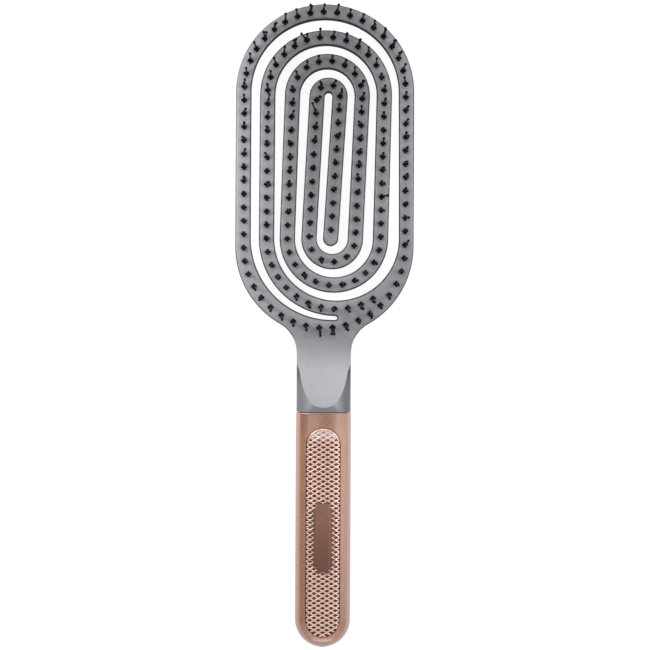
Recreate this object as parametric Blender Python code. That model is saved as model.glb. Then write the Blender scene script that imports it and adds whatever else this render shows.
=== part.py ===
# Pin styling brush: a springy spiral head set with tufts of pins, on a hollow satin handle.
# It lies on its back with the pins up (+Z), the handle along Y and the head towards +Y.
# The origin is on the surface that it lies on, under the middle of its length. Sizes are in metres.

import math
import random

import bmesh
import bpy
from mathutils import Matrix, Vector
from mathutils.bvhtree import BVHTree

# Whole brush
BRUSH_LENGTH = 0.245
HEAD_WIDTH = 0.0679
NECK_SHARE = 0.1184
NECK_WIDTH = 0.0208
HANDLE_WIDTH = 0.021
HANDLE_SHARE = 0.3629
HANDLE_THICK = 0.014
PLATE_THICK = 0.0034
GAP = 0.0003
OVERRUN = 0.002

# Head outline and its crown towards the pins
HEAD_RADIUS = HEAD_WIDTH / 2
NECK_LENGTH = BRUSH_LENGTH * NECK_SHARE
HANDLE_LENGTH = BRUSH_LENGTH * HANDLE_SHARE
SEAM_Y = HANDLE_LENGTH - BRUSH_LENGTH / 2
HEAD_TOP_Y = BRUSH_LENGTH / 2 - HEAD_RADIUS
HEAD_LOW_Y = SEAM_Y + NECK_LENGTH + HEAD_RADIUS
FLARE_RADIUS = 0.0126
CROWN_RADIUS = 0.425
CROWN_OFFSET = 0.007
CROWN_Y = (HEAD_TOP_Y + HEAD_LOW_Y) / 2 - CROWN_OFFSET
BEND_STEP = 0.008
ARC_STEP = math.radians(10)

# Spiral: each half turn of the band is half a pitch smaller than the last
PITCH_SHARE = 0.1311
BAND_SHARE = 0.6573
RIM_SHARE = 0.6685
FIRST_INSET_SHARE = 0.8225
COIL_RISE_SHARE = 0.354
COIL_DROP_SHARE = 0.146
COIL_TOP_STEP_SHARE = 0.028
SLOT_ROOT_SHARE = 0.354
SLOT_TIP_SHARE = 0.478
PITCH = HEAD_WIDTH * PITCH_SHARE
BAND_WIDTH = PITCH * BAND_SHARE
RIM_WIDTH = PITCH * RIM_SHARE
FIRST_RADIUS = HEAD_RADIUS - PITCH * FIRST_INSET_SHARE
COIL_LOW_Y = HEAD_LOW_Y + PITCH * COIL_RISE_SHARE
COIL_TOP_Y = HEAD_TOP_Y - PITCH * COIL_DROP_SHARE
COIL_TOP_STEP = PITCH * COIL_TOP_STEP_SHARE
SLOT_ROOT_X = PITCH * SLOT_ROOT_SHARE
SLOT_ROOT_RADIUS = HEAD_RADIUS - RIM_WIDTH + SLOT_ROOT_X
SLOT_TIP_X = PITCH * SLOT_TIP_SHARE
# Sideways places of the arc centres, bottom and top by turns, in pitches, and last the free end's
CENTRE_SHARES = (0.519, 0.041, 0.406, 0.098, 0.331, 0.148, 0.267)
# Sideways places where each half turn of the spiral begins, in pitches
JOINT_SHARES = (0.154, 0.052, 0.483, 0.009, 0.149, 0.079)

# Skin that carries the pins, over the band that springs
SKIN_THICK = 0.0008
SKIN_INSET = 0.0001

# Pins: two long ones to a tuft
PIN_LENGTH = 0.011
PIN_RADIUS = 0.00036
PIN_TIP_RADIUS = 0.0003
PIN_ROOT = 0.0004
PIN_SPREAD = 0.00042
PIN_SPLAY_SHARE = 0.05
PIN_SIDES = 3
RIM_ROW_SHARE = 0.546
RIM_ROW_RADIUS = HEAD_RADIUS - RIM_WIDTH * RIM_ROW_SHARE
# Tufts on each slice of skin, round the rim and along each half turn of the spiral
RIM_GROUPS = (4, 4, 4, 10, 4, 4, 5, 4, 4, 10, 4, 4)
COIL_GROUPS = ((4, 4, 10, 4, 3), (3, 4, 10, 3, 3), (3, 3, 10, 2, 2), (2, 2, 11, 3), (3, 11), (12,))
ROOT_TUFTS = 4
# The rim's row begins this many tufts past the bottom, and the spiral's ends this much of one short
RIM_START_TUFTS = 2.14
LAST_TUFT_SHARE = 0.156

# Neck: a rounded bar cut away by a sloping flat towards the head
NECK_POWER = 2.5
NECK_LIP = 0.0004
NECK_TOP_Y = HEAD_LOW_Y - HEAD_RADIUS - GAP
NECK_FACE_Y = NECK_TOP_Y - NECK_LIP
NECK_FACE_END = 0.0021
NECK_TONGUE = 0.005
NECK_TONGUE_SHARE = 0.67
NECK_SIDE_GAP = 0.0001
NECK_SECTIONS = 10
NECK_BACK_SHARE = 0.7
SECTION_POINTS = 32

# Handle sleeve, and the tenon that snaps into it
HANDLE_POWER = 3.0
SLEEVE_WALL = 0.0022
BUTT_STEPS = 7
BUTT_EDGE_RADIUS = 0.005
BUTT_FACE = 0.00005
TENON_LENGTH = 0.024
TENON_CHAMFER = 0.001
SNAP_AT = 0.016
SNAP_LENGTH = 0.003
SNAP_HEIGHT = 0.0003

# Grip panels let into the front and the back of the handle
PANEL_WIDTH = 0.0131
PANEL_START = 0.0056
PANEL_END = 0.0041
PANEL_THICK = 0.001
PANEL_FIELD_DEPTH = 0.0004
PANEL_RIM = 0.0007
PLAQUE_WIDTH = 0.007
PLAQUE_LENGTH = 0.0262
PLAQUE_FROM_SEAM = 0.0340
PLAQUE_CORNER = 0.0017

CREST_Z = PLATE_THICK + (BRUSH_LENGTH / 2 - CROWN_Y) ** 2 / (2 * CROWN_RADIUS)


def parts_collection(name):
    found = bpy.data.collections.new(name)
    bpy.context.scene.collection.children.link(found)
    return found


for old in list(bpy.data.objects):
    bpy.data.objects.remove(old)
PARTS = parts_collection("pin_styling_brush")
CUTTERS = parts_collection("cutters")


# Materials

def material(name, colour, roughness, metallic=0.0):
    made = bpy.data.materials.new(name)
    made.use_nodes = True
    shader = made.node_tree.nodes["Principled BSDF"]
    shader.inputs["Base Color"].default_value = (*colour, 1.0)
    shader.inputs["Roughness"].default_value = roughness
    shader.inputs["Metallic"].default_value = metallic
    return made


GREY = material("grey_soft_plastic", (0.25, 0.255, 0.265), 0.55)
BLACK = material("black_nylon", (0.012, 0.01, 0.014), 0.4)
ROSE = material("rose_satin_metal", (0.62, 0.42, 0.36), 0.32, 0.8)
BRONZE = material("bronze_satin_metal", (0.5, 0.33, 0.27), 0.38, 0.8)


# Mesh helpers

def new_object(name, mesh, colour, collection=None):
    made = bpy.data.objects.new(name, mesh)
    (collection or PARTS).objects.link(made)
    if colour:
        mesh.materials.clear()
        mesh.materials.append(colour)
    return made


def mark_cutter(cutter):
    cutter.hide_render = True
    cutter.display_type = "WIRE"
    return cutter


def settled(made):
    """The object's evaluated mesh as a new bmesh in world space."""
    graph = bpy.context.evaluated_depsgraph_get()
    graph.update()
    mesh = bpy.data.meshes.new_from_object(made.evaluated_get(graph))
    mesh.transform(made.matrix_world)
    bm = bmesh.new()
    bm.from_mesh(mesh)
    bpy.data.meshes.remove(mesh)
    return bm


def bm_object(name, bm, colour, collection=None):
    bmesh.ops.triangulate(bm, faces=bm.faces)
    bmesh.ops.recalc_face_normals(bm, faces=bm.faces)
    mesh = bpy.data.meshes.new(name)
    bm.to_mesh(mesh)
    bm.free()
    return new_object(name, mesh, colour, collection)


def sheet(name, outlines, low, high):
    """A flat solid between two heights, from closed outlines, a later one being a hole."""
    curve = bpy.data.curves.new(name, "CURVE")
    curve.dimensions = "2D"
    curve.fill_mode = "BOTH"
    curve.extrude = (high - low) / 2
    for outline in outlines:
        spline = curve.splines.new("POLY")
        spline.points.add(len(outline) - 1)
        for point, (x, y) in zip(spline.points, outline):
            point.co = (x, y, 0, 1)
        spline.use_cyclic_u = True
    flat = bpy.data.objects.new(name, curve)
    flat.location.z = (low + high) / 2
    CUTTERS.objects.link(flat)
    bpy.context.view_layer.update()
    bm = settled(flat)
    bpy.data.objects.remove(flat)
    bmesh.ops.remove_doubles(bm, verts=bm.verts, dist=GAP / 100)
    return bm


def box(bm, centre, size, turn=0.0):
    """Adds a box that is turned about Z to a bmesh."""
    made = bmesh.ops.create_cube(bm, size=1)["verts"]
    place = Matrix.Translation(centre) @ Matrix.Rotation(turn, 4, "Z") @ Matrix.Diagonal((*size, 1))
    bmesh.ops.transform(bm, matrix=place, verts=made)


def combine(made, cutter, operation):
    """Applies a Boolean and removes the cutter. The result is the object's own mesh."""
    mark_cutter(cutter)
    tool = made.modifiers.new(operation.lower(), "BOOLEAN")
    tool.object = cutter
    tool.operation = operation
    tool.solver = "EXACT"
    bpy.context.view_layer.update()
    bm = settled(made)
    bmesh.ops.triangulate(bm, faces=bm.faces)
    made.modifiers.remove(tool)
    bm.to_mesh(made.data)
    bm.free()
    bpy.data.objects.remove(cutter)
    return made


def loose_parts(made):
    """Splits an object's mesh into one bmesh for each separate body."""
    whole = bmesh.new()
    whole.from_mesh(made.data)
    whole.verts.ensure_lookup_table()
    seen = set()
    found = []
    for start in whole.verts:
        if start.index in seen:
            continue
        body = {start.index}
        edge_of_body = [start]
        while edge_of_body:
            vert = edge_of_body.pop()
            for edge in vert.link_edges:
                other = edge.other_vert(vert)
                if other.index not in body:
                    body.add(other.index)
                    edge_of_body.append(other)
        seen |= body
        piece = whole.copy()
        piece.verts.ensure_lookup_table()
        spare = [vert for vert in piece.verts if vert.index not in body]
        bmesh.ops.delete(piece, geom=spare, context="VERTS")
        found.append(piece)
    whole.free()
    bpy.data.objects.remove(made)
    return found


# Outlines

def arc(centre, radius, start, end):
    """Points on an arc between two angles in degrees, ends included."""
    turn = math.radians(end - start)
    steps = max(2, math.ceil(abs(turn) / ARC_STEP))
    angles = [math.radians(start) + turn * i / steps for i in range(steps + 1)]
    return [(centre[0] + radius * math.cos(a), centre[1] + radius * math.sin(a)) for a in angles]


def coil_centre(half):
    """Centre of the arc at the start of a half turn: even ones are at the bottom, odd at the top."""
    x = CENTRE_SHARES[half] * PITCH
    if half % 2 == 0:
        return (x, COIL_LOW_Y)
    return (x, COIL_TOP_Y - COIL_TOP_STEP * (half - 1) / 2)


def coil_radius(half):
    return FIRST_RADIUS - half * PITCH / 2


def flare():
    """Centre of the right-hand fillet between head and neck, and where it meets the head, in degrees."""
    across = NECK_WIDTH / 2 + FLARE_RADIUS
    down = math.sqrt((HEAD_RADIUS + FLARE_RADIUS) ** 2 - across ** 2)
    return (across, HEAD_LOW_Y - down), -math.degrees(math.atan2(down, across))


def head_outline():
    (across, flare_y), meet = flare()
    left = [(-NECK_WIDTH / 2 * NECK_TONGUE_SHARE, flare_y - NECK_TONGUE)]
    left += arc((-across, flare_y), FLARE_RADIUS, 0, -meet)
    left += arc((0, HEAD_LOW_Y), HEAD_RADIUS, -180 - meet, -180)[1:]
    top = arc((0, HEAD_TOP_Y), HEAD_RADIUS, 180, 0)
    right = [(-x, y) for x, y in reversed(left)]
    return left + top + right


def slot_outline():
    """The one spiral slot, up its outer side to the free end and back down its inner side."""
    half_band = BAND_WIDTH / 2
    rim_inner = HEAD_RADIUS - RIM_WIDTH
    root = (SLOT_ROOT_X, COIL_LOW_Y)
    reach = SLOT_TIP_X - SLOT_ROOT_X
    start = -90 + math.degrees(math.asin(reach / SLOT_ROOT_RADIUS))
    outline = arc(root, SLOT_ROOT_RADIUS, start, -180)
    outline += arc((0, HEAD_TOP_Y), rim_inner, 180, 0)
    for half in (0, 2, 4):
        outline += arc(coil_centre(half), coil_radius(half) - half_band, 0, -180)
        outline += arc(coil_centre(half + 1), coil_radius(half + 1) - half_band, 180, 0)
    tip = (coil_centre(6)[0], COIL_LOW_Y)
    outline += arc(tip, half_band, -180, 0)
    for half in (4, 2, 0):
        outline += arc(coil_centre(half + 1), coil_radius(half + 1) + half_band, 0, 180)
        end = 0 if half else -90 + math.degrees(
            math.asin((SLOT_TIP_X - coil_centre(0)[0]) / (coil_radius(0) + half_band)))
        outline += arc(coil_centre(half), coil_radius(half) + half_band, -180, end)
    low = Vector(outline[0])
    high = Vector(outline[-1])
    middle = (low + high) / 2
    return outline + arc(middle, (high - low).length / 2, 90, -90)[1:-1]


def capsule(radius):
    return arc((0, HEAD_TOP_Y), radius, 180, 0) + arc((0, HEAD_LOW_Y), radius, 0, -180)


# Rows of tufts: a path is points, and a place on it is a distance along it

def joint_place(half):
    """Where the half turn begins on the band's centre line."""
    x = JOINT_SHARES[half] * PITCH
    centre = coil_centre(half)
    rise = math.sqrt(coil_radius(half) ** 2 - (x - centre[0]) ** 2)
    return (x, centre[1] - rise if half % 2 == 0 else centre[1] + rise)


def angle_of(point, centre):
    return math.degrees(math.atan2(point[1] - centre[1], point[0] - centre[0]))


def half_path(half):
    """Centre line of one half turn of the spiral, from its joint to the next or to the free end."""
    first = coil_centre(half)
    after = coil_centre(half + 1)
    begin = angle_of(joint_place(half), first)
    if half == 5:
        return arc(first, coil_radius(half), begin, 0) + [(after[0], COIL_LOW_Y)]
    finish = angle_of(joint_place(half + 1), after)
    if half % 2 == 0:
        path = arc(first, coil_radius(half), begin, -180)
        return path + arc(after, coil_radius(half + 1), 180, finish)
    path = arc(first, coil_radius(half), begin, 0)
    return path + arc(after, coil_radius(half + 1), 0, finish)


def root_path():
    """Centre line of the stretch before the first joint, walked back from the joint."""
    begin = angle_of(joint_place(0), coil_centre(0))
    return arc(coil_centre(0), coil_radius(0), begin, 0)


def rim_path():
    around = 2 * math.pi * RIM_ROW_RADIUS + 2 * (HEAD_TOP_Y - HEAD_LOW_Y)
    begin = -90 + math.degrees(RIM_START_TUFTS * around / sum(RIM_GROUPS) / RIM_ROW_RADIUS)
    path = arc((0, HEAD_LOW_Y), RIM_ROW_RADIUS, begin, -180)
    path += arc((0, HEAD_TOP_Y), RIM_ROW_RADIUS, 180, 0)
    return path + arc((0, HEAD_LOW_Y), RIM_ROW_RADIUS, 0, begin)


def path_length(path):
    return sum((Vector(b) - Vector(a)).length for a, b in zip(path, path[1:]))


def along(path, distance):
    """The point at a distance along a path, and the direction there."""
    for a, b in zip(path, path[1:]):
        step = Vector(b) - Vector(a)
        if distance <= step.length or b == path[-1]:
            if step.length:
                return Vector(a) + step.normalized() * distance, step.normalized()
        distance -= step.length
    raise ValueError("the path has no length")


def row(path, groups, spare_share=0.0):
    """Tuft places of each group, and the breaks between the groups."""
    count = sum(groups)
    pitch = path_length(path) / (count + spare_share)
    places = []
    breaks = []
    done = 0
    for group in groups:
        places.append([along(path, (done + i + 1 / 2) * pitch) for i in range(group)])
        done += group
        breaks.append(along(path, done * pitch))
    return places, breaks


# Crown of the head

def lifted(point, height):
    """A flat place and a height over the skin's face, put on the crowned head."""
    tilt = math.atan((point[1] - CROWN_Y) / CROWN_RADIUS)
    face = CREST_Z - (point[1] - CROWN_Y) ** 2 / (2 * CROWN_RADIUS)
    return Vector((point[0], point[1] + height * math.sin(tilt), face + height * math.cos(tilt)))


def bend(bm):
    """Cuts a flat solid across every few millimetres and bends it to the crown."""
    lowest = min(vert.co.y for vert in bm.verts)
    highest = max(vert.co.y for vert in bm.verts)
    flat_faces = math.radians(1)
    bmesh.ops.remove_doubles(bm, verts=bm.verts, dist=GAP / 10)
    bmesh.ops.dissolve_limit(bm, angle_limit=flat_faces, verts=bm.verts, edges=bm.edges)
    cut = math.ceil(lowest / BEND_STEP) * BEND_STEP
    while cut < highest:
        geometry = bm.verts[:] + bm.edges[:] + bm.faces[:]
        if cut > lowest:
            bmesh.ops.bisect_plane(bm, geom=geometry, dist=GAP / 10, plane_co=(0, cut, 0),
                                   plane_no=(0, 1, 0))
        cut += BEND_STEP
    bmesh.ops.triangulate(bm, faces=bm.faces)
    for vert in bm.verts:
        vert.co = lifted(vert.co, vert.co.z)


# Head: the sprung band under the skin, in seven bodies

def kerfs(name, cuts, low, high):
    """Thin boxes, each over a place and across a direction, that part neighbouring bodies."""
    bm = bmesh.new()
    for middle, direction, length in cuts:
        turn = math.atan2(direction.y, direction.x)
        centre = (middle.x, middle.y, (low + high) / 2)
        box(bm, centre, (GAP, length, high - low), turn)
    return bm_object(name, bm, None, CUTTERS)


def joint_cuts():
    length = BAND_WIDTH + (PITCH - BAND_WIDTH) / 2
    return [(Vector(joint_place(half)), Vector((1, 0)), length) for half in range(6)]


def name_by_probe(pieces, probes):
    """Gives each loose piece the name of the probe that lies over it."""
    named = {}
    for piece in pieces:
        tree = BVHTree.FromBMesh(piece)
        for name, point in probes:
            if tree.ray_cast(Vector((point[0], point[1], PLATE_THICK)), Vector((0, 0, -1)))[0]:
                named.setdefault(name, piece)
    return named


def neck_half_width(y):
    centre, _ = flare()
    if y <= centre[1]:
        return NECK_WIDTH / 2
    rise = math.sqrt(FLARE_RADIUS ** 2 - min(FLARE_RADIUS, y - centre[1]) ** 2)
    return NECK_WIDTH / 2 + FLARE_RADIUS - rise


def section(half_width, low, high, power, y):
    """A rounded section across the brush, as points round it."""
    points = []
    for i in range(SECTION_POINTS):
        angle = 2 * math.pi * (i + 1 / 2) / SECTION_POINTS
        x = math.copysign(abs(math.cos(angle)) ** (2 / power), math.cos(angle))
        z = math.copysign(abs(math.sin(angle)) ** (2 / power), math.sin(angle))
        points.append(Vector((x, y, z)))
    widest = max(point.x for point in points)
    tallest = max(point.z for point in points)
    for point in points:
        point.x *= half_width / widest
        point.z = (low + high) / 2 + (high - low) / 2 * point.z / tallest
    return points


def loft(sections):
    """A closed solid through sections that have the same number of points."""
    bm = bmesh.new()
    rings = [[bm.verts.new(point) for point in points] for points in sections]
    for ring, after in zip(rings, rings[1:]):
        for i, vert in enumerate(ring):
            j = (i + 1) % len(ring)
            bm.faces.new((vert, ring[j], after[j], after[i]))
    bm.faces.new(rings[0])
    bm.faces.new(list(reversed(rings[-1])))
    return bm


def tenon_sections(clearance, length):
    """Sections of the tenon or, with no clearance, of the socket that takes it."""
    half = HANDLE_WIDTH / 2 - SLEEVE_WALL - clearance
    low = SLEEVE_WALL + clearance
    high = HANDLE_THICK - low
    places = [(-clearance, 0), (SNAP_AT - SNAP_LENGTH / 2, 0), (SNAP_AT, SNAP_HEIGHT),
              (SNAP_AT + SNAP_LENGTH / 2, 0), (length - TENON_CHAMFER, 0)]
    if clearance:
        places.append((length, -TENON_CHAMFER))
    return [section(half + grow, low - grow, high + grow, HANDLE_POWER, SEAM_Y - at)
            for at, grow in places]


def make_neck():
    sections = []
    run = NECK_TOP_Y - SEAM_Y - GAP
    back = lifted((0, NECK_TOP_Y), -PLATE_THICK).z + GAP
    for i in range(NECK_SECTIONS):
        y = NECK_TOP_Y - run * i / (NECK_SECTIONS - 1)
        away = min(1, (NECK_TOP_Y - y) / (run * NECK_BACK_SHARE))
        low = back * (1 - away) ** 2
        sections.append(section(neck_half_width(y) - NECK_SIDE_GAP, low, HANDLE_THICK,
                                NECK_POWER, y))
    neck = bm_object("neck", loft(sections + tenon_sections(GAP, TENON_LENGTH)), GREY)
    face_low = lifted((0, NECK_FACE_Y), -NECK_SIDE_GAP)
    face_high = Vector((0, SEAM_Y + NECK_FACE_END, HANDLE_THICK))
    slope = face_high - face_low
    cutter = bmesh.new()
    reach = slope.length * 2
    box(cutter, (0, 0, reach / 2), (HEAD_WIDTH, reach, reach))
    tilt = Matrix.Rotation(-math.atan2(slope.z, -slope.y), 4, "X")
    middle = Matrix.Translation((face_low + face_high) / 2)
    bmesh.ops.transform(cutter, matrix=middle @ tilt, verts=cutter.verts)
    return combine(neck, bm_object("neck_face", cutter, None, CUTTERS), "DIFFERENCE")


def make_head():
    plate = bm_object("plate", sheet("plate", [head_outline(), slot_outline()], -PLATE_THICK, 0), GREY)
    pocket_low = -SKIN_THICK - GAP
    pocket = sheet("pocket", [capsule(HEAD_RADIUS + GAP - SKIN_INSET)], pocket_low, OVERRUN)
    combine(plate, bm_object("pocket", pocket, None, CUTTERS), "DIFFERENCE")
    cutter = kerfs("joint_kerfs", joint_cuts(), -PLATE_THICK - OVERRUN, OVERRUN)
    combine(plate, cutter, "DIFFERENCE")
    probes = [("head_frame", (-HEAD_RADIUS + RIM_WIDTH / 2, HEAD_TOP_Y))]
    for half in range(6):
        path = half_path(half)
        probes.append((f"coil_half_{half + 1}", along(path, path_length(path) / 2)[0]))
    pieces = name_by_probe(loose_parts(plate), probes)
    made = {}
    for name, piece in pieces.items():
        bend(piece)
        made[name] = bm_object(name, piece, GREY)
    combine(made["head_frame"], make_neck(), "UNION")
    return made


# Pins, on slices of the skin

def inner_reach(place, centre):
    """Distance from the rim row's centre to the middle of the slot inside it, past a rim place."""
    out = (place - centre).normalized()
    if place.y > HEAD_LOW_Y:
        hub, radius = Vector((0, HEAD_TOP_Y)), HEAD_RADIUS - RIM_WIDTH
    elif place.x < SLOT_TIP_X:
        hub, radius = Vector((SLOT_ROOT_X, COIL_LOW_Y)), SLOT_ROOT_RADIUS
    else:
        hub, radius = Vector(coil_centre(0)), coil_radius(0) - BAND_WIDTH / 2
    radius -= (SLOT_TIP_X - SLOT_ROOT_X) / 2
    offset = centre - hub
    across = offset.dot(out)
    return -across + math.sqrt(across ** 2 - offset.dot(offset) + radius ** 2)


def rim_cut(place):
    """A cut across the rim, and across the band that is still joined to it."""
    x = place.x
    if HEAD_LOW_Y < place.y < HEAD_TOP_Y:
        middle = Vector((math.copysign(HEAD_RADIUS - RIM_WIDTH / 2, x), place.y))
        return middle, Vector((0, 1)), RIM_WIDTH + OVERRUN
    centre = Vector((0, HEAD_TOP_Y if place.y > HEAD_LOW_Y else HEAD_LOW_Y))
    out = (place - centre).normalized()
    inner = inner_reach(place, centre)
    outer = HEAD_RADIUS + OVERRUN
    return centre + out * (inner + outer) / 2, out.orthogonal(), outer - inner


def pin(bm, place, lean):
    """Adds one tapered pin, rooted in the skin."""
    foot = lifted(place, -PIN_ROOT)
    up = (lifted(place, PIN_LENGTH) - foot).normalized()
    tip = foot + (up + Vector((lean[0], lean[1], 0))).normalized() * (PIN_LENGTH + PIN_ROOT)
    axis = tip - foot
    turn = axis.to_track_quat("Z", "Y").to_matrix().to_4x4()
    place_pin = Matrix.Translation((foot + tip) / 2) @ turn
    bmesh.ops.create_cone(bm, cap_ends=True, segments=PIN_SIDES, radius1=PIN_RADIUS,
                          radius2=PIN_TIP_RADIUS, depth=axis.length, matrix=place_pin)


def tuft(bm, place, chance):
    """Two long pins side by side, leaning a little apart."""
    for side in (-1, 1):
        root = place + Vector((side * PIN_SPREAD, 0))
        lean = (side * PIN_SPLAY_SHARE * chance.random(), PIN_SPLAY_SHARE * (chance.random() * 2 - 1) / 2)
        pin(bm, root, lean)


def make_pins():
    rows = []
    cuts = []
    places, breaks = row(rim_path(), RIM_GROUPS)
    rows += [(f"rim_pins_{i + 1}", group) for i, group in enumerate(places)]
    cuts += [rim_cut(point) for point, _ in breaks]
    root = row_back(ROOT_TUFTS)
    for half, groups in enumerate(COIL_GROUPS):
        path = half_path(half)
        places, breaks = row(path, groups, LAST_TUFT_SHARE if half == 5 else 0.0)
        rows += [(f"coil_{half + 1}_pins_{i + 1}", group) for i, group in enumerate(places)]
        length = BAND_WIDTH + (PITCH - BAND_WIDTH) / 2
        cuts += [(point, direction, length) for point, direction in breaks[:-1]]
    cuts += joint_cuts()
    skin = bm_object("skin", sheet("skin", [head_outline(), slot_outline()], -SKIN_THICK, 0), GREY)
    trim = sheet("trim", [capsule(HEAD_RADIUS - SKIN_INSET)], -SKIN_THICK - OVERRUN, OVERRUN)
    combine(skin, bm_object("trim", trim, None, CUTTERS), "INTERSECT")
    combine(skin, kerfs("skin_kerfs", cuts, -SKIN_THICK - OVERRUN, OVERRUN), "DIFFERENCE")
    probes = [(name, group[len(group) // 2][0]) for name, group in rows]
    chance = random.Random(3)
    named = name_by_probe(loose_parts(skin), probes)
    groups = dict(rows)
    for name, slice_bm in named.items():
        tree = BVHTree.FromBMesh(slice_bm)
        tufts = [point for point, _ in groups[name]]
        if name.startswith("rim"):
            down = Vector((0, 0, -1))
            tufts += [p for p in root if tree.ray_cast(Vector((p.x, p.y, PLATE_THICK)), down)[0]]
        bend(slice_bm)
        made = bm_object(name, slice_bm, BLACK)
        strands = bmesh.new()
        for point in tufts:
            tuft(strands, point, chance)
        combine(made, bm_object("strands", strands, None, CUTTERS), "UNION")


def row_back(count):
    """Tufts of the spiral's row that stand before the first joint."""
    path = root_path()
    pitch = path_length(half_path(0)) / sum(COIL_GROUPS[0])
    return [along(path, (i + 1 / 2) * pitch)[0] for i in range(count)]


# Handle

def handle_form(inset):
    """Sections of the handle's outside, or of the same form set in, from the butt to the seam."""
    radius = HANDLE_WIDTH / 2 - inset
    edge = BUTT_EDGE_RADIUS - inset
    turns = [math.pi / 2 * i / BUTT_STEPS for i in range(1, BUTT_STEPS + 1)]
    sections = []
    for at in [BUTT_FACE] + [radius * (1 - math.cos(turn)) for turn in turns]:
        width = math.sqrt(radius ** 2 - (radius - at) ** 2)
        low = inset + edge - math.sqrt(edge ** 2 - max(0.0, edge - at) ** 2)
        y = inset - BRUSH_LENGTH / 2 + (at if at > BUTT_FACE else 0.0)
        sections.append(section(width, low, HANDLE_THICK - low, HANDLE_POWER, y))
    sections.append(section(radius, inset, HANDLE_THICK - inset, HANDLE_POWER, SEAM_Y))
    return sections


def stadium(shrink):
    """Outline of a grip panel, smaller all round by a distance."""
    radius = PANEL_WIDTH / 2
    top = SEAM_Y - PANEL_START - radius
    low = PANEL_END + radius - BRUSH_LENGTH / 2
    return arc((0, top), radius - shrink, 180, 0) + arc((0, low), radius - shrink, 0, -180)


def plaque_outline():
    """The plain plate in the middle of a grip panel, with cut corners."""
    half = PLAQUE_WIDTH / 2
    middle = SEAM_Y - PLAQUE_FROM_SEAM - PLAQUE_LENGTH / 2
    end = PLAQUE_LENGTH / 2
    corner = [(half - PLAQUE_CORNER, end), (half, end - PLAQUE_CORNER)]
    right = corner + [(x, -y) for x, y in reversed(corner)]
    whole = right + [(-x, y) for x, y in reversed(right)]
    return [(x, middle + y) for x, y in whole]


def half_prism(name, outlines, front, depth):
    """Everything over the outlines on one side of the handle, down to a depth under its face."""
    middle = HANDLE_THICK / 2
    heights = (middle, HANDLE_THICK + OVERRUN) if front else (-OVERRUN, middle)
    prism = bm_object(name, sheet(name, outlines, *heights), None)
    return combine(prism, bm_object("core", loft(handle_form(depth)), None, CUTTERS), "DIFFERENCE")


def make_panel(name, front):
    """A grip panel: a rimmed plate with a sunk field round the plain plaque."""
    panel = half_prism(name, [stadium(GAP)], front, PANEL_THICK)
    panel.data.materials.append(BRONZE)
    form = bm_object("form", loft(handle_form(0.0)), None, CUTTERS)
    combine(panel, form, "INTERSECT")
    field = half_prism("field", [stadium(GAP + PANEL_RIM), plaque_outline()], front, PANEL_FIELD_DEPTH)
    return combine(panel, field, "DIFFERENCE")


def make_handle():
    sleeve = bm_object("handle_sleeve", loft(handle_form(0.0)), ROSE)
    socket = list(reversed(tenon_sections(0.0, TENON_LENGTH)))
    socket.append([point + Vector((0, OVERRUN, 0)) for point in socket[-1]])
    hollow = loft(handle_form(SLEEVE_WALL)[:-1] + socket)
    combine(sleeve, bm_object("hollow", hollow, None, CUTTERS), "DIFFERENCE")
    for front in (True, False):
        recess = half_prism("recess", [stadium(0.0)], front, PANEL_THICK + GAP)
        combine(sleeve, recess, "DIFFERENCE")
    make_panel("grip_panel_front", True)
    make_panel("grip_panel_back", False)


make_head()
make_pins()
make_handle()
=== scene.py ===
import math
import random

import bmesh
import bpy
from bmesh.types import BMEdge, BMVert
from mathutils import Matrix, Vector


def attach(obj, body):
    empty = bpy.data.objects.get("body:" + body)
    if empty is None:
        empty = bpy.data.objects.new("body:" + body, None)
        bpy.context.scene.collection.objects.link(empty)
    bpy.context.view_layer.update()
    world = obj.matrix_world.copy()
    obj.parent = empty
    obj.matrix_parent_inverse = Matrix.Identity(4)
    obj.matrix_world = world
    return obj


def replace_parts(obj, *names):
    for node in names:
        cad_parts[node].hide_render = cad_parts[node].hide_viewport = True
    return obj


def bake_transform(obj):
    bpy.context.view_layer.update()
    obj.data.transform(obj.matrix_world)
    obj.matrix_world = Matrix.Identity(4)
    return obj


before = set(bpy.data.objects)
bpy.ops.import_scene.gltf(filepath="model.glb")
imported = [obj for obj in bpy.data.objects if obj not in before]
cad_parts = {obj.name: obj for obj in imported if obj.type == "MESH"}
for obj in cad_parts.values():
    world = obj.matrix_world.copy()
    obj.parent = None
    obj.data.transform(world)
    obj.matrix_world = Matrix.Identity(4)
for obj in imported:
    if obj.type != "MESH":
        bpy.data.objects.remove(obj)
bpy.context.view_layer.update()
print("frame loaded")

# ---- sizes shared by every piece, the same as the solids', in metres

brush = {"length": 0.245, "thick": 0.014, "width": 0.021, "seamY": -0.0335895, "ringSides": 96}

head = {
    "radius": 0.03395, "topY": 0.08855, "lowY": 0.0293685, "plate": 0.0034,
    "flare": 0.0126, "neckHalf": 0.0104, "tongue": 0.0004, "neckBelow": -0.0105,
    "crownRadius": 0.425, "crownY": 0.05195925, "crestZ": 0.0092541,
}

coil = {
    "pitch": 0.00890169, "band": 0.0058511, "rim": 0.00595078, "firstRadius": 0.02662836,
    "lowY": 0.03251970, "topY": 0.08725035, "topStep": 0.00024925,
    "slotRootX": 0.0031512, "slotRootRadius": 0.03115042, "slotTipX": 0.004255,
    "centres": (0.519, 0.041, 0.406, 0.098, 0.331, 0.148, 0.267),  # sideways, in pitches
    "joints": (0.154, 0.052, 0.483, 0.009, 0.149, 0.079),          # sideways, in pitches
    "linkHalf": 0.0012,   # half the length of the short link that bends at each joint
}


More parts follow.
